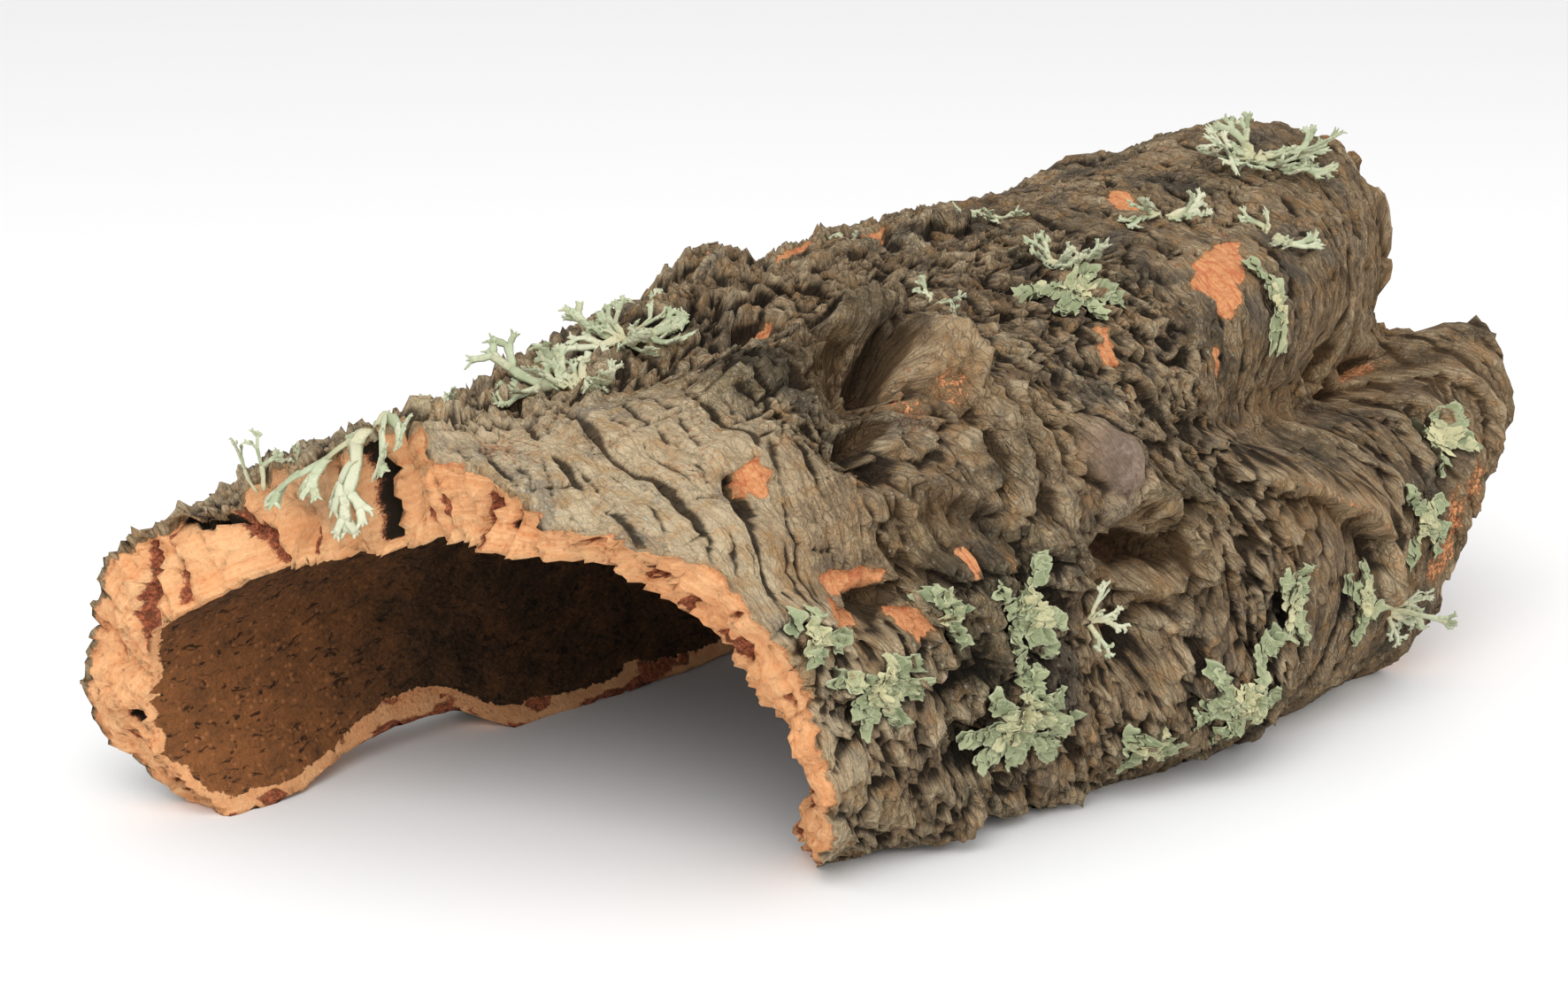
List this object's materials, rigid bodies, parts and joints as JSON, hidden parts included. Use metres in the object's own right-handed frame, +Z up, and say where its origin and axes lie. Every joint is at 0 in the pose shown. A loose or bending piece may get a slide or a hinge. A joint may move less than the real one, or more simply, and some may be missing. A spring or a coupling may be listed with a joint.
{
  "type": "cork bark tunnel",
  "caption": "Curved piece of rough cork bark, open below and at both ends, that stands as a low tunnel or hide, with leafy and shrubby lichens on its outside.",
  "frame": {"origin": "on the ground under the middle of the whole object's box", "axes": "+X along the tunnel from the wide near mouth to the far end, +Z up, +Y to the left of someone looking in at the near mouth"},
  "size_m": [0.4094, 0.208, 0.1614],
  "materials": {
    "bark": "rough fissured cork bark, bare orange cork on the torn faces",
    "leafy_lichen": "matt grey-green lobes",
    "shrubby_lichen": "matt pale green straps"
  },
  "bodies": {
    "root": {"bark": "bark", "leafy_lichen_1": "leafy_lichen", "leafy_lichen_2": "leafy_lichen", "leafy_lichen_3": "leafy_lichen", "leafy_lichen_4": "leafy_lichen", "leafy_lichen_5": "leafy_lichen", "leafy_lichen_6": "leafy_lichen", "leafy_lichen_7": "leafy_lichen", "leafy_lichen_8": "leafy_lichen", "leafy_lichen_9": "leafy_lichen", "leafy_lichen_10": "leafy_lichen", "leafy_lichen_11": "leafy_lichen", "leafy_lichen_12": "leafy_lichen", "leafy_lichen_13": "leafy_lichen", "shrubby_lichen_twin_twigs": "shrubby_lichen", "shrubby_lichen_rim_twig": "shrubby_lichen", "shrubby_lichen_rim_tuft": "shrubby_lichen", "shrubby_lichen_lying_branch": "shrubby_lichen", "shrubby_lichen_branch_head": "shrubby_lichen", "shrubby_lichen_shoulder_tuft": "shrubby_lichen", "shrubby_lichen_shoulder_bits": "shrubby_lichen", "shrubby_lichen_crest_bits": "shrubby_lichen", "shrubby_lichen_crest_tuft": "shrubby_lichen", "shrubby_lichen_ledge_tuft": "shrubby_lichen", "shrubby_lichen_curled_tuft": "shrubby_lichen", "shrubby_lichen_far_strand": "shrubby_lichen", "shrubby_lichen_far_bits": "shrubby_lichen", "shrubby_lichen_great_tuft": "shrubby_lichen", "shrubby_lichen_flank_branch": "shrubby_lichen", "shrubby_lichen_end_tuft": "shrubby_lichen"}
  },
  "joints": []
}
